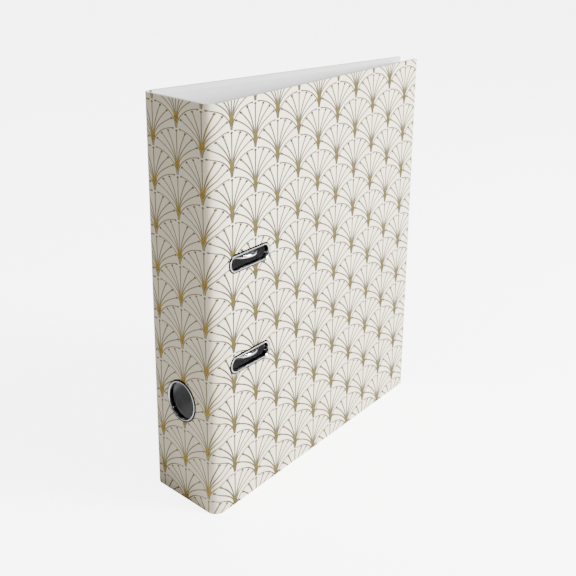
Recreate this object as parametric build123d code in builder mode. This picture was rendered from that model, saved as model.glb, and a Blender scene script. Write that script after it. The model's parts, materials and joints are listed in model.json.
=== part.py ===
from build123d import *
import os
from math import cos, radians, sin

# Lever arch file, standing on its lower edges, covers shut.
# +X runs from the spine to the opening, -Y faces the front cover, +Z is up.
# The origin is the middle of the outer box, on the floor.

# Case
case_height = 318.0
case_depth = 285.0
spine_width = 75.0
fold_radius = 8.0
front_tilt = 11.0
board_thickness = 2.0
wrap_thickness = 0.3
lining_thickness = 0.2
turn_in = 14.0
lining_margin = 4.0
fold_sheet = 0.8

# Front cover slots
slot_pitch = 80.0
slot_inset = 42.0
slot_length = 46.0
slot_width = 10.5
eyelet_rim = 2.2
eyelet_wall = 0.5
eyelet_flange = 0.9

# Finger ring
ring_height = 85.0
ring_bore_radius = 15.0
ring_rim = 2.2
ring_wall = 0.6
ring_flange = 0.9

# Mechanism on the back board
plate_thickness = 1.2
plate_inset = 20.0
plate_width = 50.0
plate_length = 148.0
plate_corner = 6.0
rivet_radius = 2.0
rivet_head_radius = 4.0
rivet_head = 0.8
rivet_edge = 8.0
wire_radius = 2.0
shaft_inset = 28.5
shaft_rise = 6.0
arch_span = 34.0
crown_entry = 0.6
wire_bend = 4.0
post_top = 38.0
post_radius = 2.4
post_collar_radius = 4.5
post_collar = 1.4
post_tenon_radius = 1.5
tip_depth = 0.9
tip_radius = 1.5
tip_gap = 0.1
lug_offset = 32.0
lug_thickness = 1.5
lug_width = 9.0
running_gap = 0.06
crank_reach = 9.0
crank_length = 28.0

# Lever
lever_length = 51.0
lever_width = 10.0
lever_sheet = 1.2
lever_skirt = 5.4
lever_pivot_offset = 24.0
lever_eye_radius = 4.0
lever_tab_length = 11.0
lever_tab_width = 16.0
lever_tab_corner = 4.0
lever_heel = 3.0
lever_toe = 2.0
lever_pin_radius = 1.5
lever_pin_head_radius = 2.3
lever_pin_head = 0.6
bracket_sheet = 1.2
bracket_gap = 0.3
bracket_length = 12.0
roller_radius = 2.1
roller_pin_radius = 0.9
roller_end_gap = 0.4
roller_lift = 0.35
roller_headroom = 0.25
roller_pin_tail = 0.4

# Leaf spring below the crank
leaf_thickness = 0.5
leaf_width = 8.0
leaf_gap = 0.3
leaf_length = 44.0
leaf_foot = 9.0
leaf_ramp = 14.0

# Compressor bar on the posts
clamp_length = 112.0
clamp_width = 17.0
clamp_sheet = 1.2
clamp_lip = 2.8
clamp_rise = 4.5
clamp_hole_gap = 0.45
clamp_corner = 4.0
catch_thickness = 2.2
catch_length = 20.0
catch_width = 13.0
catch_corner = 3.0
catch_ridge = 1.2

# Places that follow from the sizes
panel_thickness = wrap_thickness + board_thickness + wrap_thickness + lining_thickness
spine_x = -(case_depth - ring_flange) / 2
front_y = -(spine_width + rivet_head) / 2
back_y = front_y + spine_width
slot_z = case_height / 2
slot_levels = {"upper": slot_z + slot_pitch / 2, "lower": slot_z - slot_pitch / 2}
tilt = radians(front_tilt)
fold_x = spine_x + fold_radius
front_hinge_x = fold_x + fold_radius * sin(tilt)
front_hinge_y = front_y + fold_radius - fold_radius * cos(tilt)
front_length = (case_depth - (front_hinge_x - spine_x)) / cos(tilt)
back_length = case_depth - fold_radius
spine_length = spine_width - 2 * fold_radius
slot_along = slot_inset - fold_radius
cover_drop = front_hinge_y - front_y + slot_along * sin(tilt) + panel_thickness * cos(tilt)
arch_rise = spine_width - panel_thickness - cover_drop + crown_entry - wire_radius
roller_rise = shaft_rise + wire_radius + roller_lift + roller_radius
web_top = roller_rise + roller_radius + roller_headroom + lever_sheet
lever_pivot_rise = web_top - lever_eye_radius

# Outer faces: local X along the panel, local Y up, local Z out of the file
front_face = Plane((front_hinge_x, front_hinge_y, 0), (cos(tilt), sin(tilt), 0), (sin(tilt), -cos(tilt), 0))
spine_face = Plane((spine_x, back_y - fold_radius, 0), (0, -1, 0), (-1, 0, 0))
back_face = Plane((spine_x + case_depth, back_y, 0), (-1, 0, 0), (0, 1, 0))
# Inner face of the back cover, seen from inside: local X from the spine, local Z off the cover
mech_face = Plane((spine_x, back_y - panel_thickness, 0), (1, 0, 0), (0, -1, 0))

os.makedirs("parts", exist_ok=True)


def at(inset, rise, level):
    """A point by its distance from the spine, its height off the back cover and its level."""
    return (spine_x + inset, back_y - panel_thickness - rise, level)


def across(level):
    """A plane square to Z: local X from the spine, local Y off the back cover."""
    return Plane(at(0, 0, level), (1, 0, 0), (0, 0, -1))


def along(inset):
    """A plane square to X: local X up, local Y off the back cover."""
    return Plane(at(inset, 0, 0), (0, 0, 1), (1, 0, 0))


def save(builder, label):
    builder.part.label = label
    export_step(builder.part, "parts/" + label + ".step")


def span_box(face, depth, thickness, x_span, y_span, mode=Mode.ADD):
    """A block on a face, from a depth below it, between two limits each way."""
    with BuildSketch(face.offset(-depth)) as block:
        with Locations(((x_span[0] + x_span[1]) / 2, (y_span[0] + y_span[1]) / 2)):
            Rectangle(x_span[1] - x_span[0], y_span[1] - y_span[0])
    extrude(block.sketch, amount=-thickness, mode=mode)


def cut_holes(face, holes, grow):
    """Cuts each opening of a panel: a slot if it has a length, else a round hole."""
    for length, width, x, y in holes:
        with BuildSketch(face) as opening:
            with Locations((x, y)):
                if length > width:
                    SlotOverall(length + 2 * grow, width + 2 * grow)
                else:
                    Circle(width / 2 + grow)
        extrude(opening.sketch, amount=-2 * panel_thickness, mode=Mode.SUBTRACT)


def inset_span(length, wrapped, amount):
    """The panel's span along X, pulled in at the edges that the wrap turns over."""
    start = amount if wrapped == "start" else 0
    end = length - amount if wrapped == "end" else length
    return (start, end)


def make_panel(name, face, length, wrapped, holes, grow):
    """Board, printed wrap with its turn-ins, and lining of one side of the case."""
    inner = wrap_thickness + board_thickness
    board_x = inset_span(length, wrapped, wrap_thickness)
    board_y = (wrap_thickness, case_height - wrap_thickness)
    window_x = inset_span(length, wrapped, turn_in)
    window_y = (turn_in, case_height - turn_in)
    lining_x = inset_span(length, wrapped, lining_margin)
    lining_y = (lining_margin, case_height - lining_margin)

    with BuildPart() as board:
        span_box(face, wrap_thickness, board_thickness, board_x, board_y)
        cut_holes(face, holes, grow)
    save(board, name + "_board")

    with BuildPart() as wrap:
        span_box(face, 0, inner + wrap_thickness, (0, length), (0, case_height))
        span_box(face, wrap_thickness, board_thickness, board_x, board_y, Mode.SUBTRACT)
        span_box(face, inner, wrap_thickness, window_x, window_y, Mode.SUBTRACT)
        cut_holes(face, holes, grow)
    save(wrap, name + "_wrap")

    with BuildPart() as lining:
        span_box(face, inner, wrap_thickness, window_x, window_y)
        span_box(face, inner + wrap_thickness, lining_thickness, lining_x, lining_y)
        cut_holes(face, holes, grow)
    save(lining, name + "_lining")


def make_eyelet(names, face, hole, rim, wall, flange):
    """A flanged tube through a panel, and the washer that it is clenched over inside."""
    length, width, x, y = hole

    def outline(grow, mode=Mode.ADD):
        if length > width:
            SlotOverall(length + 2 * grow, width + 2 * grow, mode=mode)
        else:
            Circle(width / 2 + grow, mode=mode)

    with BuildPart() as eyelet:
        with BuildSketch(face):
            with Locations((x, y)):
                outline(rim)
                outline(0, Mode.SUBTRACT)
        extrude(amount=flange)
        rim_edges = eyelet.faces().sort_by(Axis(face.origin, face.z_dir))[-1].edges()
        fillet(rim_edges, flange * 0.45)
        with BuildSketch(face):
            with Locations((x, y)):
                outline(wall)
                outline(0, Mode.SUBTRACT)
        extrude(amount=-(panel_thickness + flange))
    save(eyelet, names[0])

    with BuildPart() as washer:
        with BuildSketch(face.offset(-panel_thickness)):
            with Locations((x, y)):
                outline(rim)
                outline(wall, Mode.SUBTRACT)
        extrude(amount=-flange)
    save(washer, names[1])


def make_fold(name, centre_y, start, end):
    """The soft rounded fold between two boards."""
    with BuildPart() as fold:
        with BuildSketch():
            with BuildLine():
                outer = CenterArc((fold_x, centre_y), fold_radius, start, end - start)
                inner = CenterArc((fold_x, centre_y), fold_radius - fold_sheet, start, end - start)
                Line(outer @ 0, inner @ 0)
                Line(outer @ 1, inner @ 1)
            make_face()
        extrude(amount=case_height)
    save(fold, name)


# The three sides of the case
slot_holes = [(slot_length, slot_width, slot_along, z) for z in slot_levels.values()]
ring_hole = (0, 2 * ring_bore_radius, spine_length / 2, ring_height)
plate_x = plate_inset + plate_width / 2
rivet_spots = [
    (plate_x + side * (plate_width / 2 - rivet_edge), slot_z + end * (plate_length / 2 - rivet_edge))
    for side in (-1, 1)
    for end in (-1, 1)
]
rivet_holes = [(0, 2 * rivet_radius, case_depth - x, z) for x, z in rivet_spots]

make_panel("front", front_face, front_length, "end", slot_holes, eyelet_wall)
make_panel("spine", spine_face, spine_length, "none", [ring_hole], ring_wall)
make_panel("back", back_face, back_length, "start", rivet_holes, 0)
make_fold("front_fold", front_y + fold_radius, 180, 270 + front_tilt)
make_fold("back_fold", back_y - fold_radius, 90, 180)

for level, hole in zip(slot_levels, slot_holes):
    names = ("slot_eyelet_" + level, "slot_washer_" + level)
    make_eyelet(names, front_face, hole, eyelet_rim, eyelet_wall, eyelet_flange)
names = ("finger_ring", "finger_ring_washer")
make_eyelet(names, spine_face, ring_hole, ring_rim, ring_wall, ring_flange)

# Base plate with its two bearing lugs
post_inset = shaft_inset + arch_span
with BuildPart() as base_plate:
    with BuildSketch(mech_face):
        with Locations((plate_x, slot_z)):
            RectangleRounded(plate_width, plate_length, plate_corner)
    extrude(amount=plate_thickness)
    fillet(base_plate.faces().sort_by(Axis.Y)[0].edges(), plate_thickness * 0.3)
    for level in (slot_z - lug_offset, slot_z + lug_offset):
        with BuildSketch(across(level)):
            with Locations((shaft_inset, shaft_rise)):
                Circle(lug_width / 2)
            with Locations((shaft_inset, (shaft_rise + plate_thickness / 2) / 2)):
                Rectangle(lug_width, shaft_rise - plate_thickness / 2)
            with Locations((shaft_inset, shaft_rise)):
                Circle(wire_radius + running_gap, mode=Mode.SUBTRACT)
        extrude(amount=lug_thickness / 2, both=True)
    with BuildSketch(mech_face):
        with Locations(*rivet_spots):
            Circle(rivet_radius)
        with Locations(*[(post_inset, level) for level in slot_levels.values()]):
            Circle(post_tenon_radius)
    extrude(amount=plate_thickness, mode=Mode.SUBTRACT)
save(base_plate, "base_plate")

for number, (x, z) in enumerate(rivet_spots, 1):
    with BuildPart() as rivet:
        with BuildSketch(across(z)):
            with BuildLine():
                outside = -panel_thickness
                Polyline(
                    (x, outside - rivet_head),
                    (x + rivet_head_radius * 0.6, outside - rivet_head),
                    (x + rivet_head_radius, outside - rivet_head * 0.3),
                    (x + rivet_head_radius, outside),
                    (x + rivet_radius, outside),
                    (x + rivet_radius, plate_thickness),
                    (x + rivet_head_radius * 0.9, plate_thickness),
                    (x + rivet_head_radius * 0.5, plate_thickness + rivet_head),
                    (x, plate_thickness + rivet_head),
                    close=True,
                )
            make_face()
        revolve(axis=Axis(at(x, 0, z), (0, 1, 0)))
    save(rivet, "plate_rivet_" + str(number))

# Posts: foot collar, stem and a dished top for the arch tip
for name, level in slot_levels.items():
    with BuildPart() as post:
        with BuildSketch(across(level)):
            with BuildLine():
                Polyline(
                    (post_inset, 0),
                    (post_inset + post_tenon_radius, 0),
                    (post_inset + post_tenon_radius, plate_thickness),
                    (post_inset + post_collar_radius, plate_thickness),
                    (post_inset + post_collar_radius, plate_thickness + post_collar * 0.6),
                    (post_inset + post_collar_radius * 0.85, plate_thickness + post_collar),
                    (post_inset + post_radius, plate_thickness + post_collar),
                    (post_inset + post_radius, post_top),
                    (post_inset + tip_radius, post_top),
                    (post_inset, post_top - tip_depth),
                    close=True,
                )
            make_face()
        revolve(axis=Axis(at(post_inset, 0, level), (0, 1, 0)))
    save(post, "post_" + name)

# One wire: tip, arch, leg, shaft with its crank, leg, arch, tip
crank_inset = shaft_inset + crank_reach
shoulder_rise = arch_rise - arch_span / 2
upper, lower = slot_levels["upper"], slot_levels["lower"]
crank_upper, crank_lower = slot_z + crank_length / 2, slot_z - crank_length / 2
with BuildPart() as arch_wire:
    with BuildLine():
        for level in (upper, lower):
            Line(at(post_inset, post_top + tip_gap, level), at(post_inset, shoulder_rise, level))
            ThreePointArc(
                at(post_inset, shoulder_rise, level),
                at(shaft_inset + arch_span / 2, arch_rise, level),
                at(shaft_inset, shoulder_rise, level),
            )
        FilletPolyline(
            at(shaft_inset, shoulder_rise, upper),
            at(shaft_inset, shaft_rise, upper),
            at(shaft_inset, shaft_rise, crank_upper),
            at(crank_inset, shaft_rise, crank_upper),
            at(crank_inset, shaft_rise, crank_lower),
            at(shaft_inset, shaft_rise, crank_lower),
            at(shaft_inset, shaft_rise, lower),
            at(shaft_inset, shoulder_rise, lower),
            radius=wire_bend,
        )
    with BuildSketch(mech_face.offset(post_top + tip_gap)):
        with Locations((post_inset, upper)):
            Circle(wire_radius)
    sweep()
    for level in slot_levels.values():
        with BuildSketch(across(level)):
            with BuildLine():
                Polyline(
                    (post_inset, post_top - tip_depth + 2 * tip_gap),
                    (post_inset + tip_radius - tip_gap, post_top + tip_gap),
                    (post_inset, post_top + tip_gap),
                    close=True,
                )
            make_face()
        revolve(axis=Axis(at(post_inset, 0, level), (0, 1, 0)))
save(arch_wire, "arch_wire")

# Leaf spring on the plate, pressed down by the crank
leaf_start = crank_upper + leaf_thickness - leaf_length
leaf_top = shaft_rise - wire_radius - leaf_gap
with BuildPart() as leaf_spring:
    with BuildSketch(along(crank_inset)):
        with BuildLine():
            Polyline(
                (leaf_start, plate_thickness),
                (leaf_start + leaf_foot, plate_thickness),
                (leaf_start + leaf_foot + leaf_ramp, leaf_top - leaf_thickness),
                (leaf_start + leaf_length, leaf_top - leaf_thickness),
                (leaf_start + leaf_length, leaf_top),
                (leaf_start + leaf_foot + leaf_ramp, leaf_top),
                (leaf_start + leaf_foot, plate_thickness + leaf_thickness),
                (leaf_start, plate_thickness + leaf_thickness),
                close=True,
            )
        make_face()
    extrude(amount=leaf_width / 2, both=True)
save(leaf_spring, "leaf_spring")

# Lever bracket: a foot on the plate and two ears
pivot_z = slot_z + lever_pivot_offset
ear_inner = lever_width / 2 + bracket_gap
ear_outer = ear_inner + bracket_sheet
ear_radius = lever_eye_radius + lever_toe / 4
with BuildPart() as lever_bracket:
    with BuildSketch(mech_face.offset(plate_thickness)):
        with Locations((crank_inset, pivot_z)):
            Rectangle(2 * ear_outer, bracket_length)
    extrude(amount=bracket_sheet)
    for side in (-1, 1):
        with BuildSketch(along(crank_inset + side * (ear_inner + bracket_sheet / 2))):
            with Locations((pivot_z, (plate_thickness + lever_pivot_rise) / 2)):
                Rectangle(2 * ear_radius, lever_pivot_rise - plate_thickness)
            with Locations((pivot_z, lever_pivot_rise)):
                Circle(ear_radius)
                Circle(lever_pin_radius, mode=Mode.SUBTRACT)
        extrude(amount=bracket_sheet / 2, both=True)
save(lever_bracket, "lever_bracket")

with BuildPart() as lever_pin:
    with BuildSketch(along(crank_inset)):
        with Locations((pivot_z, lever_pivot_rise)):
            Circle(lever_pin_radius)
    extrude(amount=ear_outer, both=True)
    for side in (-1, 1):
        with BuildSketch(along(crank_inset + side * (ear_outer + lever_pin_head / 2))):
            with Locations((pivot_z, lever_pivot_rise)):
                Circle(lever_pin_head_radius)
        extrude(amount=lever_pin_head / 2, both=True)
save(lever_pin, "lever_pin")

# Lever: a channel with an eye at one end and a thumb tab at the other
skirt_edge = web_top - lever_skirt
channel_end = pivot_z - lever_length + lever_tab_length
with BuildPart() as lever:
    with BuildSketch(along(crank_inset)):
        with BuildLine():
            Polyline(
                (pivot_z, web_top),
                (channel_end, web_top),
                (channel_end, web_top - lever_toe),
                (slot_z - 2 * roller_radius, skirt_edge),
                (pivot_z - lever_heel, skirt_edge),
                (pivot_z, lever_pivot_rise - lever_eye_radius),
                close=True,
            )
        make_face()
        with Locations((pivot_z, lever_pivot_rise)):
            Circle(lever_eye_radius)
    extrude(amount=lever_width / 2, both=True)
    with BuildSketch(along(crank_inset)):
        with Locations((pivot_z - lever_length / 2, (web_top - lever_sheet) / 2)):
            Rectangle(2 * lever_length, web_top - lever_sheet)
    extrude(amount=lever_width / 2 - lever_sheet, both=True, mode=Mode.SUBTRACT)
    with BuildSketch(mech_face.offset(web_top)):
        with Locations((crank_inset, channel_end + lever_tab_corner / 2 - lever_tab_length / 2)):
            RectangleRounded(lever_tab_width, lever_tab_length + lever_tab_corner, lever_tab_corner)
    extrude(amount=-lever_sheet)
    with BuildSketch(along(crank_inset)):
        with Locations((pivot_z, lever_pivot_rise)):
            Circle(lever_pin_radius + running_gap)
        with Locations((slot_z, roller_rise)):
            Circle(roller_pin_radius)
    extrude(amount=lever_width, both=True, mode=Mode.SUBTRACT)
save(lever, "lever")

with BuildPart() as roller_pin:
    with BuildSketch(along(crank_inset)):
        with Locations((slot_z, roller_rise)):
            Circle(roller_pin_radius)
    extrude(amount=lever_width / 2 + roller_pin_tail, both=True)
save(roller_pin, "roller_pin")

with BuildPart() as roller:
    with BuildSketch(along(crank_inset)):
        with Locations((slot_z, roller_rise)):
            Circle(roller_radius)
            Circle(roller_pin_radius + running_gap, mode=Mode.SUBTRACT)
    extrude(amount=lever_width / 2 - lever_sheet - roller_end_gap, both=True)
save(roller, "roller")

# Compressor bar and its catches, sliding on the posts
with BuildPart() as compressor_bar:
    with BuildSketch(mech_face.offset(clamp_rise - clamp_lip)):
        with Locations((post_inset, slot_z)):
            RectangleRounded(clamp_width, clamp_length, clamp_corner)
    extrude(amount=clamp_lip + clamp_sheet)
    with BuildSketch(mech_face.offset(clamp_rise - clamp_lip)):
        with Locations((post_inset, slot_z)):
            RectangleRounded(
                clamp_width - 2 * clamp_sheet,
                clamp_length - 2 * clamp_sheet,
                clamp_corner - clamp_sheet,
            )
    extrude(amount=clamp_lip, mode=Mode.SUBTRACT)
    with BuildSketch(mech_face):
        with Locations(*[(post_inset, level) for level in slot_levels.values()]):
            Circle(post_radius + clamp_hole_gap)
    extrude(amount=post_top, mode=Mode.SUBTRACT)
save(compressor_bar, "compressor_bar")

for name, level in slot_levels.items():
    with BuildPart() as catch:
        with BuildSketch(mech_face.offset(clamp_rise + clamp_sheet)):
            with Locations((post_inset, level)):
                RectangleRounded(catch_width, catch_length, catch_corner)
                Circle(post_radius + 2 * running_gap, mode=Mode.SUBTRACT)
        extrude(amount=catch_thickness)
        with BuildSketch(mech_face.offset(clamp_rise + clamp_sheet + catch_thickness)):
            with GridLocations(0, catch_length - 2 * catch_corner, 1, 2):
                with Locations((post_inset, level)):
                    Rectangle(catch_width - 2 * catch_corner, catch_ridge)
        extrude(amount=catch_ridge)
    save(catch, "catch_" + name)
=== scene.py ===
import json
import math

import bpy
from mathutils import Matrix, Vector


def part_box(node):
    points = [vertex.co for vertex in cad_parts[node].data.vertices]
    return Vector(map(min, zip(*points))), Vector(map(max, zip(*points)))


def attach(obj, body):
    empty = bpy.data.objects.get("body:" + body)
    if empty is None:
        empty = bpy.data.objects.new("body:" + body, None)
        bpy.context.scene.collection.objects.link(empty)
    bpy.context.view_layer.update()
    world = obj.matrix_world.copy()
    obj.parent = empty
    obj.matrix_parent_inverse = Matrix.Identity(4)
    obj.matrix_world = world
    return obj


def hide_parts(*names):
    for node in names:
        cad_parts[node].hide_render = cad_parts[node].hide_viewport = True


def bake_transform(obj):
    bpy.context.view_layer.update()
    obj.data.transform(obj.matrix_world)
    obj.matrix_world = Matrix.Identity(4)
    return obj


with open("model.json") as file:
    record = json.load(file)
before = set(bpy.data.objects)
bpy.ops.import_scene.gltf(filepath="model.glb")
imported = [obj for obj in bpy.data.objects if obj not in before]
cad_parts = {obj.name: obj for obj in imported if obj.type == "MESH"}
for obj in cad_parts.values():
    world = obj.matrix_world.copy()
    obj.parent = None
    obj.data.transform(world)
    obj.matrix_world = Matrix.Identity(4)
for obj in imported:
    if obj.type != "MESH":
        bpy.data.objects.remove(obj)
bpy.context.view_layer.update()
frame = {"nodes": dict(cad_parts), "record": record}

MM = 0.001
HEIGHT = 318 * MM
FOLD_RADIUS = 8 * MM
FOLD_SHEET = 0.8 * MM

# Driving places, read from the frame
joints = {joint["name"]: joint for joint in frame["record"]["behaviour"]["joints"]}
cover_hinge = Vector(joints["cover_hinge"]["pos_m"])
back_hinge = Vector(joints["spine_hinge"]["pos_m"])
spine_low, spine_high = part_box("spine_wrap")
fold_x = back_hinge.x
front_fold_centre = Vector((fold_x, spine_low.y, 0))
back_fold_centre = Vector((fold_x, spine_high.y, 0))
lean = math.asin((cover_hinge.x - fold_x) / FOLD_RADIUS)
cover_dir = Vector((math.cos(lean), math.sin(lean), 0))
cover_normal = Vector((cover_dir.y, -cover_dir.x, 0))
fold_arc = FOLD_RADIUS * (math.pi / 2 + lean)

# Print layout: distances run along the outside of the case from the cover hinge
FAN_HALF_WIDTH = 27.4 * MM
FAN_ROW = 16.8 * MM
FAN_START = 14.0 * MM
FAN_LEVEL = 213.4 * MM
# Reach of the painted shade beside the crease, onto the front cover
CREASE_SHADE = 15 * MM


# ---------------------------------------------------------------- shader helpers
class Nodes:
    """Builds shader nodes with short calls."""

    def __init__(self, tree):
        self.tree = tree

    def add(self, kind, **settings):
        node = self.tree.nodes.new(kind)
        for name, value in settings.items():
            setattr(node, name, value)
        return node

    def link(self, value, socket):
        if isinstance(value, bpy.types.NodeSocket):
            self.tree.links.new(value, socket)
        else:
            socket.default_value = value

    def math(self, operation, *values):
        node = self.add("ShaderNodeMath", operation=operation)
        for value, socket in zip(values, node.inputs):
            self.link(value, socket)
        return node.outputs[0]

    def ramp(self, value, low, high, start=0.0, end=1.0):
        """Value carried smoothly from low..high to start..end."""
        node = self.add("ShaderNodeMapRange", interpolation_type="SMOOTHSTEP")
        for name, number in (("From Min", low), ("From Max", high), ("To Min", start), ("To Max", end)):
            node.inputs[name].default_value = number
        self.link(value, node.inputs["Value"])
        return node.outputs["Result"]

    def mix(self, share, a, b):
        """Numbers: a where share is 0, b where it is 1."""
        node = self.add("ShaderNodeMix", data_type="FLOAT")
        self.link(share, node.inputs[0])
        self.link(a, node.inputs[2])
        self.link(b, node.inputs[3])
        return node.outputs[0]

    def mix_colour(self, share, a, b):
        node = self.add("ShaderNodeMix", data_type="RGBA")
        self.link(share, node.inputs[0])
        for value, socket in ((a, node.inputs[6]), (b, node.inputs[7])):
            if isinstance(value, bpy.types.NodeSocket):
                self.tree.links.new(value, socket)
            else:
                socket.default_value = (*value, 1)
        return node.outputs[2]

    def place(self):
        """Position on the piece, in metres, as X, Y and Z."""
        coordinates = self.add("ShaderNodeTexCoord")
        split = self.add("ShaderNodeSeparateXYZ")
        self.tree.links.new(coordinates.outputs["Object"], split.inputs[0])
        return coordinates.outputs["Object"], split.outputs[0], split.outputs[1], split.outputs[2]

    def noise(self, vector, scale, detail=4.0, roughness=0.5, stretch=None):
        if stretch:
            mapping = self.add("ShaderNodeMapping")
            mapping.inputs["Scale"].default_value = stretch
            self.tree.links.new(vector, mapping.inputs["Vector"])
            vector = mapping.outputs[0]
        node = self.add("ShaderNodeTexNoise")
        node.inputs["Scale"].default_value = scale
        node.inputs["Detail"].default_value = detail
        node.inputs["Roughness"].default_value = roughness
        self.tree.links.new(vector, node.inputs["Vector"])
        return node.outputs[0]

    def bump(self, height, strength, distance):
        node = self.add("ShaderNodeBump")
        node.inputs["Strength"].default_value = strength
        node.inputs["Distance"].default_value = distance
        self.tree.links.new(height, node.inputs["Height"])
        return node.outputs[0]


def new_material(name):
    """A material with a Principled shader: returns it, its helper and the shader's inputs."""
    material = bpy.data.materials.new(name)
    material.use_nodes = True
    nodes = Nodes(material.node_tree)
    shader = next(n for n in material.node_tree.nodes if n.type == "BSDF_PRINCIPLED")
    return material, nodes, shader.inputs


# ---------------------------------------------------------------- the fan print
# Measures of one fan, as shares of its half width. The rise is counted from the foot's tip, one
# below the middle of the arc.
RAYS = ((0.0, 1.0), (23.0, 2.1), (44.0, 2.4), (66.0, 2.7))  # end angle in degrees, bend
RAY_REACH = 0.89
RAY_START = 0.3
OUTLINE_RADIUS = 0.975
CROWN_GAP = (0.10, 0.13)
CROWN_DOT = (0.145, 0.965)
DOT_GROWTH = 0.028
LINE_HALF_FRONT = 0.029
LINE_HALF_SPINE = 0.018
SOFT_EDGE = 0.012
FOOT_RISE = (0.06, 0.44)
FOOT_HALF = (0.018, 0.102)
FOOT_FLARE = 0.09
FOOT_FLARE_END = 0.95
FOOT_FADE = (0.34, 0.84)


def fan_group():
    """Scallop fans. Inputs: place U and V, and half the line, in half widths of a fan. Outputs:
    cover of the lines, cover of the solid feet, and the rise above the foot's tip."""
    tree = bpy.data.node_groups.new("fan_print", "ShaderNodeTree")
    for name in ("U", "V", "Half"):
        tree.interface.new_socket(name=name, in_out="INPUT", socket_type="NodeSocketFloat")
    for name in ("Line", "Solid", "Rise"):
        tree.interface.new_socket(name=name, in_out="OUTPUT", socket_type="NodeSocketFloat")
    n = Nodes(tree)
    source = n.add("NodeGroupInput")
    u, v, half_line = (source.outputs[name] for name in ("U", "V", "Half"))
    dot_size = n.math("ADD", half_line, DOT_GROWTH)

    row = n.math("FLOOR", v)
    dv = n.math("SUBTRACT", v, row)
    odd = n.math("MULTIPLY", n.math("FRACT", n.math("MULTIPLY", row, 0.5)), 2.0)

    def across(shift):
        share = n.math("FRACT", n.math("ADD", n.math("MULTIPLY", n.math("SUBTRACT", u, shift), 0.5), 0.5))
        return n.math("MULTIPLY", n.math("SUBTRACT", share, 0.5), 2.0)

    near = across(odd)
    far = across(n.math("SUBTRACT", 1.0, odd))
    near_squared = n.math("ADD", n.math("MULTIPLY", near, near), n.math("MULTIPLY", dv, dv))
    inside = n.math("LESS_THAN", near_squared, 1.0)
    x = n.math("ABSOLUTE", n.mix(inside, far, near))
    y = n.mix(inside, n.math("SUBTRACT", dv, 1.0), dv)
    rise = n.math("ADD", y, 1.0)
    radius = n.math("SQRT", n.math("ADD", n.math("MULTIPLY", x, x), n.math("MULTIPLY", y, y)))

    def stroke(distance, half):
        return n.ramp(n.math("SUBTRACT", distance, half), -SOFT_EDGE, SOFT_EDGE, 1.0, 0.0)

    def dot(px, py, size):
        dx = n.math("SUBTRACT", x, px)
        dy = n.math("SUBTRACT", y, py)
        distance = n.math("SQRT", n.math("ADD", n.math("MULTIPLY", dx, dx), n.math("MULTIPLY", dy, dy)))
        return stroke(distance, size)

    edge = stroke(n.math("ABSOLUTE", n.math("SUBTRACT", radius, OUTLINE_RADIUS)), half_line)
    upper = n.math("GREATER_THAN", y, -0.02)
    clear = n.ramp(x, *CROWN_GAP)
    line = n.math("MULTIPLY", n.math("MULTIPLY", edge, upper), clear)
    line = n.math("MAXIMUM", line, dot(*CROWN_DOT, dot_size))

    for degrees, power in RAYS:
        end_x = RAY_REACH * math.sin(math.radians(degrees))
        end_y = RAY_REACH * math.cos(math.radians(degrees))
        share = n.math("MAXIMUM", n.math("DIVIDE", rise, end_y + 1), 0.001)
        curve = n.math("MULTIPLY", n.math("POWER", share, power), end_x)
        slope = n.math("MULTIPLY", n.math("POWER", share, power - 1), end_x * power / (end_y + 1))
        lean_factor = n.math("SQRT", n.math("ADD", n.math("MULTIPLY", slope, slope), 1.0))
        away = n.math("DIVIDE", n.math("ABSOLUTE", n.math("SUBTRACT", x, curve)), lean_factor)
        ray = n.math("MULTIPLY", stroke(away, half_line), n.math("LESS_THAN", share, 1.0))
        ray = n.math("MULTIPLY", ray, n.math("GREATER_THAN", rise, RAY_START))
        line = n.math("MAXIMUM", line, n.math("MAXIMUM", ray, dot(end_x, end_y, dot_size)))

    half_width = n.ramp(rise, *FOOT_RISE, *FOOT_HALF)
    widen = n.ramp(rise, FOOT_RISE[1], FOOT_FLARE_END, 0.0, FOOT_FLARE)
    half_width = n.math("ADD", half_width, widen)
    body = n.ramp(n.math("SUBTRACT", x, half_width), -0.02, 0.012, 1.0, 0.0)
    fade = n.ramp(rise, *FOOT_FADE, 1.0, 0.0)
    solid = n.math("MULTIPLY", body, fade)

    result = n.add("NodeGroupOutput")
    for name, value in (("Line", line), ("Solid", solid), ("Rise", rise)):
        tree.links.new(value, result.inputs[name])
    return tree


fans = fan_group()

PAPER = ((0.77, 0.688, 0.525), (0.82, 0.736, 0.575))
PAPER_GRAIN = (0.66, 0.58, 0.445)
# Painted shade: the colour the paper darkens towards beside the front crease
CREASE_PAINTED_SHADE = (0.34, 0.31, 0.26)
PAPER_EDGE = (0.63, 0.63, 0.62)
# Painted light in the gold: the spine's copies are brightened as a painted sheen, and the front's are
# darkened against the light that falls on it
FOOT_SPINE_PAINTED_SHEEN = (0.46, 0.305, 0.035)
FOOT_FRONT_PAINTED_DARK = (0.085, 0.064, 0.0)
FOOT_SHADE = (0.03, 0.018, 0.0)
LINE_SPINE_PAINTED_SHEEN = (0.13, 0.104, 0.026)
LINE_FRONT_PAINTED_DARK = (0.018, 0.0135, 0.0)
# Where the line width and the gold's painted light finish changing, past the cover hinge
INK_AND_PAINTED_LIGHT_CHANGE_END = 4 * MM


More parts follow.
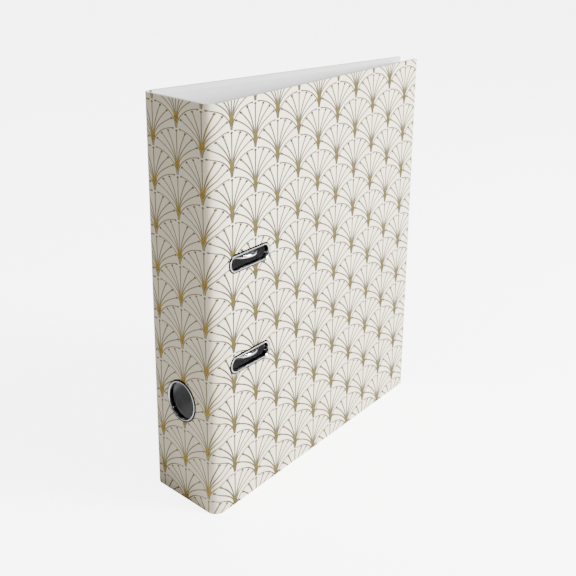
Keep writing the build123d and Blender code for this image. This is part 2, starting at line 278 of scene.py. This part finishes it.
def print_material(name, along, outside):
    """The printed wrap. along(n) gives the distance round the case, outside(n) is 1 on the face
    that is printed and 0 on the cut edges and the turned-in strips."""
    material, n, shader = new_material(name)
    place, _, _, z = n.place()
    group = n.add("ShaderNodeGroup", node_tree=fans)
    distance = along(n)
    # Share of the front: it widens the printed lines and moves the gold from its painted spine sheen to its
    # darker front copy
    front = n.ramp(distance, -fold_arc, INK_AND_PAINTED_LIGHT_CHANGE_END)
    n.link(n.math("DIVIDE", n.math("SUBTRACT", distance, FAN_START), FAN_HALF_WIDTH), group.inputs["U"])
    n.link(n.mix(front, LINE_HALF_SPINE, LINE_HALF_FRONT), group.inputs["Half"])
    n.link(n.math("DIVIDE", n.math("SUBTRACT", z, FAN_LEVEL), FAN_ROW), group.inputs["V"])

    glitter = n.noise(place, 850.0, 3.0, 0.75)
    speckle = n.ramp(glitter, 0.36, 0.64)
    grain = n.noise(place, 900.0, 5.0, 0.6)
    tone = n.noise(place, 14.0, 3.0, 0.5)

    solid = group.outputs["Solid"]
    broken = n.math("MULTIPLY", solid, n.math("ADD", n.math("MULTIPLY", speckle, 0.55), 0.6))
    broken = n.ramp(broken, 0.2, 0.62)
    line = n.math("MULTIPLY", group.outputs["Line"], n.ramp(glitter, 0.25, 0.5, 0.86, 1.0))
    ink = n.math("MULTIPLY", n.math("MINIMUM", n.math("MAXIMUM", line, broken), 1.0), outside(n))

    paper = n.mix_colour(n.ramp(tone, 0.3, 0.7), *PAPER)
    paper = n.mix_colour(n.ramp(grain, 0.2, 0.8, 0.0, 0.12), paper, PAPER_GRAIN)
    # Painted shade: the paper darkens towards the cover hinge, fading over the front half of the fold and
    # over CREASE_SHADE of the front cover
    before_crease = n.ramp(distance, -fold_arc / 2, 0.0)
    after_crease = n.ramp(distance, 0.0, CREASE_SHADE, 1.0, 0.0)
    painted_crease_shade = n.math("MULTIPLY", before_crease, after_crease)
    paper = n.mix_colour(n.math("MULTIPLY", painted_crease_shade, 0.34), paper, CREASE_PAINTED_SHADE)
    paper = n.mix_colour(outside(n), PAPER_EDGE, paper)
    # Painted light: the same gold is coloured bright on the spine and dark on the front
    bright = n.mix_colour(front, FOOT_SPINE_PAINTED_SHEEN, FOOT_FRONT_PAINTED_DARK)
    bright = n.mix_colour(speckle, n.mix_colour(0.72, bright, FOOT_SHADE), bright)
    dull = n.mix_colour(front, LINE_SPINE_PAINTED_SHEEN, LINE_FRONT_PAINTED_DARK)
    foot = n.ramp(group.outputs["Rise"], 0.5, 1.0, 1.0, 0.0)
    gold = n.mix_colour(n.math("MAXIMUM", n.ramp(broken, 0.3, 0.8), foot), dull, bright)
    n.link(n.mix_colour(ink, paper, gold), shader["Base Color"])
    n.link(n.math("MULTIPLY", n.math("MULTIPLY", broken, outside(n)), 0.2), shader["Metallic"])
    paper_roughness = n.ramp(grain, 0.2, 0.8, 0.58, 0.70)
    ink_roughness = n.ramp(glitter, 0.3, 0.7, 0.40, 0.55)
    n.link(n.mix(ink, paper_roughness, ink_roughness), shader["Roughness"])
    shader["Specular IOR Level"].default_value = 0.25
    relief = n.math("ADD", n.math("MULTIPLY", grain, 0.6), n.math("MULTIPLY", ink, 0.5))
    n.link(n.bump(relief, 0.12, 0.00012), shader["Normal"])
    return material


def along_front(n):
    """Distance from the cover hinge along the front cover."""
    _, x, y, _ = n.place()
    dx = n.math("MULTIPLY", n.math("SUBTRACT", x, cover_hinge.x), cover_dir.x)
    dy = n.math("MULTIPLY", n.math("SUBTRACT", y, cover_hinge.y), cover_dir.y)
    return n.math("ADD", dx, dy)


def facing(normal):
    """Share of the surface that faces along normal: 1 on that face, 0 on its edges."""
    def share(n):
        coordinates = n.add("ShaderNodeTexCoord")
        dot = n.add("ShaderNodeVectorMath", operation="DOT_PRODUCT")
        n.tree.links.new(coordinates.outputs["Normal"], dot.inputs[0])
        dot.inputs[1].default_value = normal
        return n.math("GREATER_THAN", dot.outputs["Value"], 0.6)
    return share


def along_spine(n):
    """The spine's distances run on from the front fold, so they are negative."""
    _, _, y, _ = n.place()
    return n.math("SUBTRACT", n.math("SUBTRACT", spine_low.y, y), fold_arc)


def along_back(n):
    _, x, _, _ = n.place()
    start = fold_arc + (spine_high.y - spine_low.y) + FOLD_RADIUS * math.pi / 2
    return n.math("SUBTRACT", n.math("SUBTRACT", fold_x, x), start)


def fold_map(n):
    """The map that scene.py's own strips and rims carry, as its coordinates."""
    coordinates = n.add("ShaderNodeUVMap", uv_map="along")
    split = n.add("ShaderNodeSeparateXYZ")
    n.tree.links.new(coordinates.outputs[0], split.inputs[0])
    return split.outputs


def along_map(n):
    """For the folds: the distance is held in the first map coordinate."""
    return fold_map(n)[0]


def outer_layer(n):
    """For the folds: the second map coordinate is 1 on the printed side."""
    return n.math("GREATER_THAN", fold_map(n)[1], 0.5)


# ---------------------------------------------------------------- the other finishes
def lining_material():
    material, n, shader = new_material("lining_paper")
    place, _, _, _ = n.place()
    fibre = n.noise(place, 60.0, 6.0, 0.6, stretch=(0.7, 1.0, 1.4))
    fine = n.noise(place, 1400.0, 3.0, 0.6)
    streak = n.ramp(n.noise(place, 45.0, 3.0, 0.5, stretch=(0.05, 0.3, 5.0)), 0.60, 0.66)
    base = n.mix_colour(n.ramp(fibre, 0.3, 0.7), (0.518, 0.521, 0.524), (0.548, 0.551, 0.554))
    n.link(n.mix_colour(n.math("MULTIPLY", streak, 0.07), base, (0.74, 0.745, 0.75)), shader["Base Color"])
    n.link(n.ramp(fine, 0.2, 0.8, 0.6, 0.75), shader["Roughness"])
    n.link(n.bump(fine, 0.15, 0.0001), shader["Normal"])
    return material


def board_material():
    material, n, shader = new_material("grey_board")
    place, _, _, _ = n.place()
    fibre = n.noise(place, 420.0, 6.0, 0.65, stretch=(1.0, 1.0, 2.5))
    colour = n.mix_colour(n.ramp(fibre, 0.3, 0.7), (0.30, 0.285, 0.26), (0.42, 0.40, 0.37))
    n.link(colour, shader["Base Color"])
    n.link(n.ramp(fibre, 0.3, 0.7, 0.8, 0.95), shader["Roughness"])
    n.link(n.bump(fibre, 0.3, 0.0002), shader["Normal"])
    return material


def metal_material(name, light, dark, smooth, rough, stretch=None, scale=120.0, relief=0.03):
    material, n, shader = new_material(name)
    place, _, _, _ = n.place()
    wear = n.noise(place, scale, 5.0, 0.6, stretch=stretch)
    n.link(n.mix_colour(n.ramp(wear, 0.3, 0.7), dark, light), shader["Base Color"])
    shader["Metallic"].default_value = 1.0
    n.link(n.ramp(wear, 0.3, 0.75, smooth, rough), shader["Roughness"])
    n.link(n.bump(wear, relief, 0.0001), shader["Normal"])
    return material


def plastic_material():
    material, n, shader = new_material("catch_plastic")
    place, _, _, _ = n.place()
    grain = n.noise(place, 1600.0, 3.0, 0.5)
    n.link(n.mix_colour(grain, (0.018, 0.018, 0.02), (0.034, 0.034, 0.037)), shader["Base Color"])
    n.link(n.ramp(grain, 0.2, 0.8, 0.38, 0.55), shader["Roughness"])
    n.link(n.bump(grain, 0.2, 0.00008), shader["Normal"])
    shader["Specular IOR Level"].default_value = 0.3
    return material


# Bands of a rim, as shares of the way from its inner wall (0) to the paper (1): painted shade on the wall,
# painted dark reflection on the bead's outer slope
RIM_WALL_BAND = (0.10, 0.32)
RIM_PAINTED_REFLECTION_BAND = (0.54, 0.60)


def rim_material():
    """Bright plating, painted near black from about the crest of the bead out to the paper as a dark
    reflection, and painted dark on the inner wall as shade.
    """
    material, n, shader = new_material("chrome_rim")
    place, _, _, _ = n.place()
    bead = fold_map(n)[0]
    wear = n.noise(place, 160.0, 4.0, 0.6)
    # Painted light: a dark reflection over the outer bead and shade down the inner wall, both put into the
    # base colour
    painted_dark_reflection = n.ramp(bead, *RIM_PAINTED_REFLECTION_BAND)
    wall = n.ramp(bead, *RIM_WALL_BAND, 1.0, 0.0)
    shade = n.math("MAXIMUM", painted_dark_reflection, wall)
    light = n.mix_colour(n.ramp(wear, 0.3, 0.7), (0.86, 0.87, 0.88), (0.93, 0.94, 0.95))
    n.link(n.mix_colour(shade, light, (0.02, 0.02, 0.022)), shader["Base Color"])
    shader["Metallic"].default_value = 1.0
    n.link(n.ramp(wear, 0.3, 0.75, 0.06, 0.14), shader["Roughness"])
    return material


chrome = metal_material("chrome", (0.74, 0.75, 0.77), (0.66, 0.67, 0.69), 0.06, 0.15)
plated = metal_material("plated_steel", (0.46, 0.465, 0.48), (0.34, 0.345, 0.36), 0.20, 0.36,
                        stretch=(1.0, 1.0, 0.08), scale=500.0, relief=0.06)
chrome_rim = rim_material()
finishes = {
    "grey_board": board_material(),
    "lining_paper": lining_material(),
    "chrome": chrome,
    "plated_steel": plated,
    "catch_plastic": plastic_material(),
}
prints = {
    "front_wrap": print_material("print_front", along_front, facing(cover_normal)),
    "spine_wrap": print_material("print_spine", along_spine, facing((-1, 0, 0))),
    "back_wrap": print_material("print_back", along_back, facing((0, 1, 0))),
}
fold_print = print_material("print_fold", along_map, outer_layer)

slots = {entry["node"]: entry["material_slot"] for entry in frame["record"]["subparts"]}
for node, obj in frame["nodes"].items():
    material = prints.get(node) or finishes.get(slots[node], fold_print)
    obj.data.materials.clear()
    obj.data.materials.append(material)


# ---------------------------------------------------------------- soft folds
def fold_mesh(name, centre, start_angle, end_angle, start_distance, direction, steps=60):
    """A bent strip of wrap between two boards, with its distance along the case as a map."""
    vertices, faces = [], []
    levels = 24
    for level in range(levels + 1):
        z = HEIGHT * level / levels
        for step in range(steps + 1):
            angle = start_angle + (end_angle - start_angle) * step / steps
            ray = Vector((math.cos(angle), math.sin(angle), 0))
            for radius in (FOLD_RADIUS, FOLD_RADIUS - FOLD_SHEET):
                vertices.append(centre + ray * radius + Vector((0, 0, z)))

    def index(level, step, layer):
        return (level * (steps + 1) + step) * 2 + layer

    for level in range(levels):
        for step in range(steps):
            a, b = (level, step), (level, step + 1)
            c, d = (level + 1, step + 1), (level + 1, step)
            faces.append([index(*p, 0) for p in (a, b, c, d)])
            faces.append([index(*p, 1) for p in (d, c, b, a)])
    for step in range(steps):
        for level, order in ((0, 1), (levels, -1)):
            corners = ((step, 0), (step, 1), (step + 1, 1), (step + 1, 0))
            faces.append([index(level, *corner) for corner in corners][::order])
    for level in range(levels):
        for step, order in ((0, 1), (steps, -1)):
            corners = ((level, 0), (level + 1, 0), (level + 1, 1), (level, 1))
            faces.append([index(height, step, side) for height, side in corners][::order])

    mesh = bpy.data.meshes.new(name)
    mesh.from_pydata([tuple(v) for v in vertices], [], faces)
    layer = mesh.uv_layers.new(name="along")
    for loop in mesh.loops:
        step = (loop.vertex_index // 2) % (steps + 1)
        turned = FOLD_RADIUS * abs(end_angle - start_angle) * step / steps
        layer.data[loop.index].uv = (start_distance + direction * turned, 1 - loop.vertex_index % 2)
    mesh.materials.append(fold_print)
    for polygon in mesh.polygons:
        polygon.use_smooth = True
    obj = bpy.data.objects.new(name, mesh)
    bpy.context.scene.collection.objects.link(obj)
    obj.data.set_sharp_from_angle(angle=math.radians(40))
    return obj


front_strip = fold_mesh("front_fold_skin", front_fold_centre, 3 * math.pi / 2 + lean, math.pi, 0.0, -1)
back_strip = fold_mesh(
    "back_fold_skin", back_fold_centre, math.pi, math.pi / 2,
    -fold_arc - (spine_high.y - spine_low.y), -1,
)
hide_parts("front_fold")
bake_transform(front_strip)
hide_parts("back_fold")
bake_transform(back_strip)

# ---------------------------------------------------------------- rolled metal rims
SLOT_LENGTH = 46 * MM
RIM = 2.2 * MM
ROLL_HEIGHT = 0.9 * MM
ROLL_FULLNESS = 0.8
GROOVE_DEPTH = 0.35
GROOVE_PLACE = 0.42
GROOVE_WIDTH = 0.07
RIM_WALL = 0.55 * MM
PANEL_BACK = 3.4 * MM


def rim_profile(steps=18):
    """Outward reach, lift and share of the bead: up the wall, over a grooved bead and back."""
    points = [(0.0, -PANEL_BACK, 0.0), (0.0, -PANEL_BACK / 2, 0.1)]
    for step in range(steps + 1):
        share = step / steps
        angle = math.pi * share
        groove = GROOVE_DEPTH * math.exp(-((share - GROOVE_PLACE) / GROOVE_WIDTH) ** 2)
        lift = ROLL_HEIGHT * math.sin(angle) ** ROLL_FULLNESS * (1 - groove)
        points.append((RIM / 2 - RIM / 2 * math.cos(angle), lift, 0.2 + 0.8 * share))
    return points + [(RIM_WALL, 0.0, 1.0), (RIM_WALL, -PANEL_BACK, 1.0)]


def rim_mesh(name, origin, along, normal, half_straight, radius, segments=48):
    """A rolled rim round a slot or a hole: the profile is carried round the opening."""
    up = Vector((0, 0, 1))
    profile = rim_profile()
    vertices, faces, stations = [], [], []
    for side in (1, -1):
        for step in range(segments + 1):
            angle = math.pi * step / segments - math.pi / 2
            stations.append((side * half_straight, side * math.cos(angle), side * math.sin(angle)))
    if half_straight == 0:
        stations = stations[:segments] + stations[segments + 1:-1]
    for shift, cosine, sine in stations:
        for out, lift, _ in profile:
            reach = radius + out
            vertices.append(origin + along * (shift + reach * cosine) + up * (reach * sine) + normal * lift)
    count, ring = len(stations), len(profile)
    for i in range(count):
        for j in range(ring):
            k, m = (i + 1) % count, (j + 1) % ring
            faces.append((i * ring + j, k * ring + j, k * ring + m, i * ring + m))
    mesh = bpy.data.meshes.new(name)
    mesh.from_pydata([tuple(v) for v in vertices], [], faces)
    mesh.materials.append(chrome_rim)
    layer = mesh.uv_layers.new(name="along")
    for loop in mesh.loops:
        layer.data[loop.index].uv = (profile[loop.vertex_index % ring][2], 0.0)
    for polygon in mesh.polygons:
        polygon.use_smooth = True
    obj = bpy.data.objects.new(name, mesh)
    bpy.context.scene.collection.objects.link(obj)
    mesh.set_sharp_from_angle(angle=math.radians(50))
    return obj


for node in ("slot_eyelet_upper", "slot_eyelet_lower"):
    low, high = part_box(node)
    middle = (low + high) / 2
    reach = (middle - cover_hinge).dot(cover_dir)
    origin = cover_hinge + cover_dir * reach
    origin.z = middle.z
    radius = (high.z - low.z) / 2 - RIM
    half_straight = SLOT_LENGTH / 2 - radius
    rim = rim_mesh(node + "_rim", origin, cover_dir, cover_normal, half_straight, radius)
    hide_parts(node)
    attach(rim, "front_cover")

low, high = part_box("finger_ring")
middle = (low + high) / 2
ring_origin = Vector((spine_low.x, middle.y, middle.z))
ring_radius = (high.z - low.z) / 2 - RIM
ring = rim_mesh("finger_ring_rim", ring_origin, Vector((0, -1, 0)), Vector((-1, 0, 0)), 0, ring_radius)
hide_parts("finger_ring")
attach(ring, "spine")

# ---------------------------------------------------------------- floor, light and camera
# Floor and backdrop are near white for the camera alone, and light the file more softly
FLOOR_HALF = 6.0
FLOOR_GLOW = 0.2
FLOOR_LIFT = 5.5
SKY_FILL = 0.18
SKY_GLOSS = 0.03
SKY_SEEN = 6.0


def stage_material(name, colour, glow):
    material, n, shader = new_material(name)
    place, _, _, _ = n.place()
    grain = n.noise(place, 30.0, 2.0, 0.5)
    darker = tuple(c * 0.985 for c in colour)
    n.link(n.mix_colour(grain, darker, colour), shader["Base Color"])
    shader["Roughness"].default_value = 0.9
    rays = n.add("ShaderNodeLightPath")
    shader["Emission Color"].default_value = (1, 1, 1, 1)
    n.link(n.mix(rays.outputs["Is Camera Ray"], glow, glow + FLOOR_LIFT), shader["Emission Strength"])
    return material


def flat(name, corners, material):
    mesh = bpy.data.meshes.new(name)
    mesh.from_pydata(corners, [], [list(range(len(corners)))])
    mesh.materials.append(material)
    obj = bpy.data.objects.new(name, mesh)
    bpy.context.scene.collection.objects.link(obj)


floor_corners = [(x * FLOOR_HALF, y * FLOOR_HALF, 0) for x, y in ((-1, -1), (1, -1), (1, 1), (-1, 1))]
flat("floor", floor_corners, stage_material("floor_white", (0.93, 0.93, 0.93), FLOOR_GLOW))


def area_light(name, place, target, size, power):
    light = bpy.data.lights.new(name, "AREA")
    light.shape = "DISK"
    light.size = size
    light.energy = power
    obj = bpy.data.objects.new(name, light)
    obj.location = place
    obj.rotation_mode = "QUATERNION"
    obj.rotation_quaternion = (Vector(target) - Vector(place)).to_track_quat("-Z", "Y")
    bpy.context.scene.collection.objects.link(obj)


area_light("key", (1.1, -1.7, 0.9), (0, 0, 0.16), 0.8, 165)
area_light("top", (0.4, -1.3, 1.7), (0, 0, 0.2), 0.6, 30)

world = bpy.data.worlds.new("studio")
bpy.context.scene.world = world
world.use_nodes = True
background = world.node_tree.nodes["Background"]
background.inputs["Color"].default_value = (1, 1, 1, 1)
sky = Nodes(world.node_tree)
rays = sky.add("ShaderNodeLightPath")
unseen = sky.mix(rays.outputs["Is Glossy Ray"], SKY_FILL, SKY_GLOSS)
sky.link(sky.mix(rays.outputs["Is Camera Ray"], unseen, SKY_SEEN), background.inputs["Strength"])

# The viewing angle is the photograph's: azimuth, elevation, a slight roll and a small rise
AZIMUTH, ELEVATION, ROLL = math.radians(-44.3), math.radians(19.12), math.radians(0.57)
TARGET = Vector((-0.0239, 0.0021, 0.1688))
DISTANCE = 0.8289
camera_data = bpy.data.cameras.new("camera")
camera_data.sensor_width = 36
camera_data.lens = 63.29
camera_data.shift_x = -0.0053
camera_data.shift_y = -0.0437
camera = bpy.data.objects.new("camera", camera_data)
bpy.context.scene.collection.objects.link(camera)
back = Vector((
    math.sin(AZIMUTH) * math.cos(ELEVATION),
    -math.cos(AZIMUTH) * math.cos(ELEVATION),
    math.sin(ELEVATION),
))
camera.location = TARGET + back * DISTANCE
camera.rotation_mode = "QUATERNION"
roll = Matrix.Rotation(ROLL, 3, "Z").to_quaternion()
camera.rotation_quaternion = (-back).to_track_quat("-Z", "Y") @ roll
bpy.context.scene.camera = camera
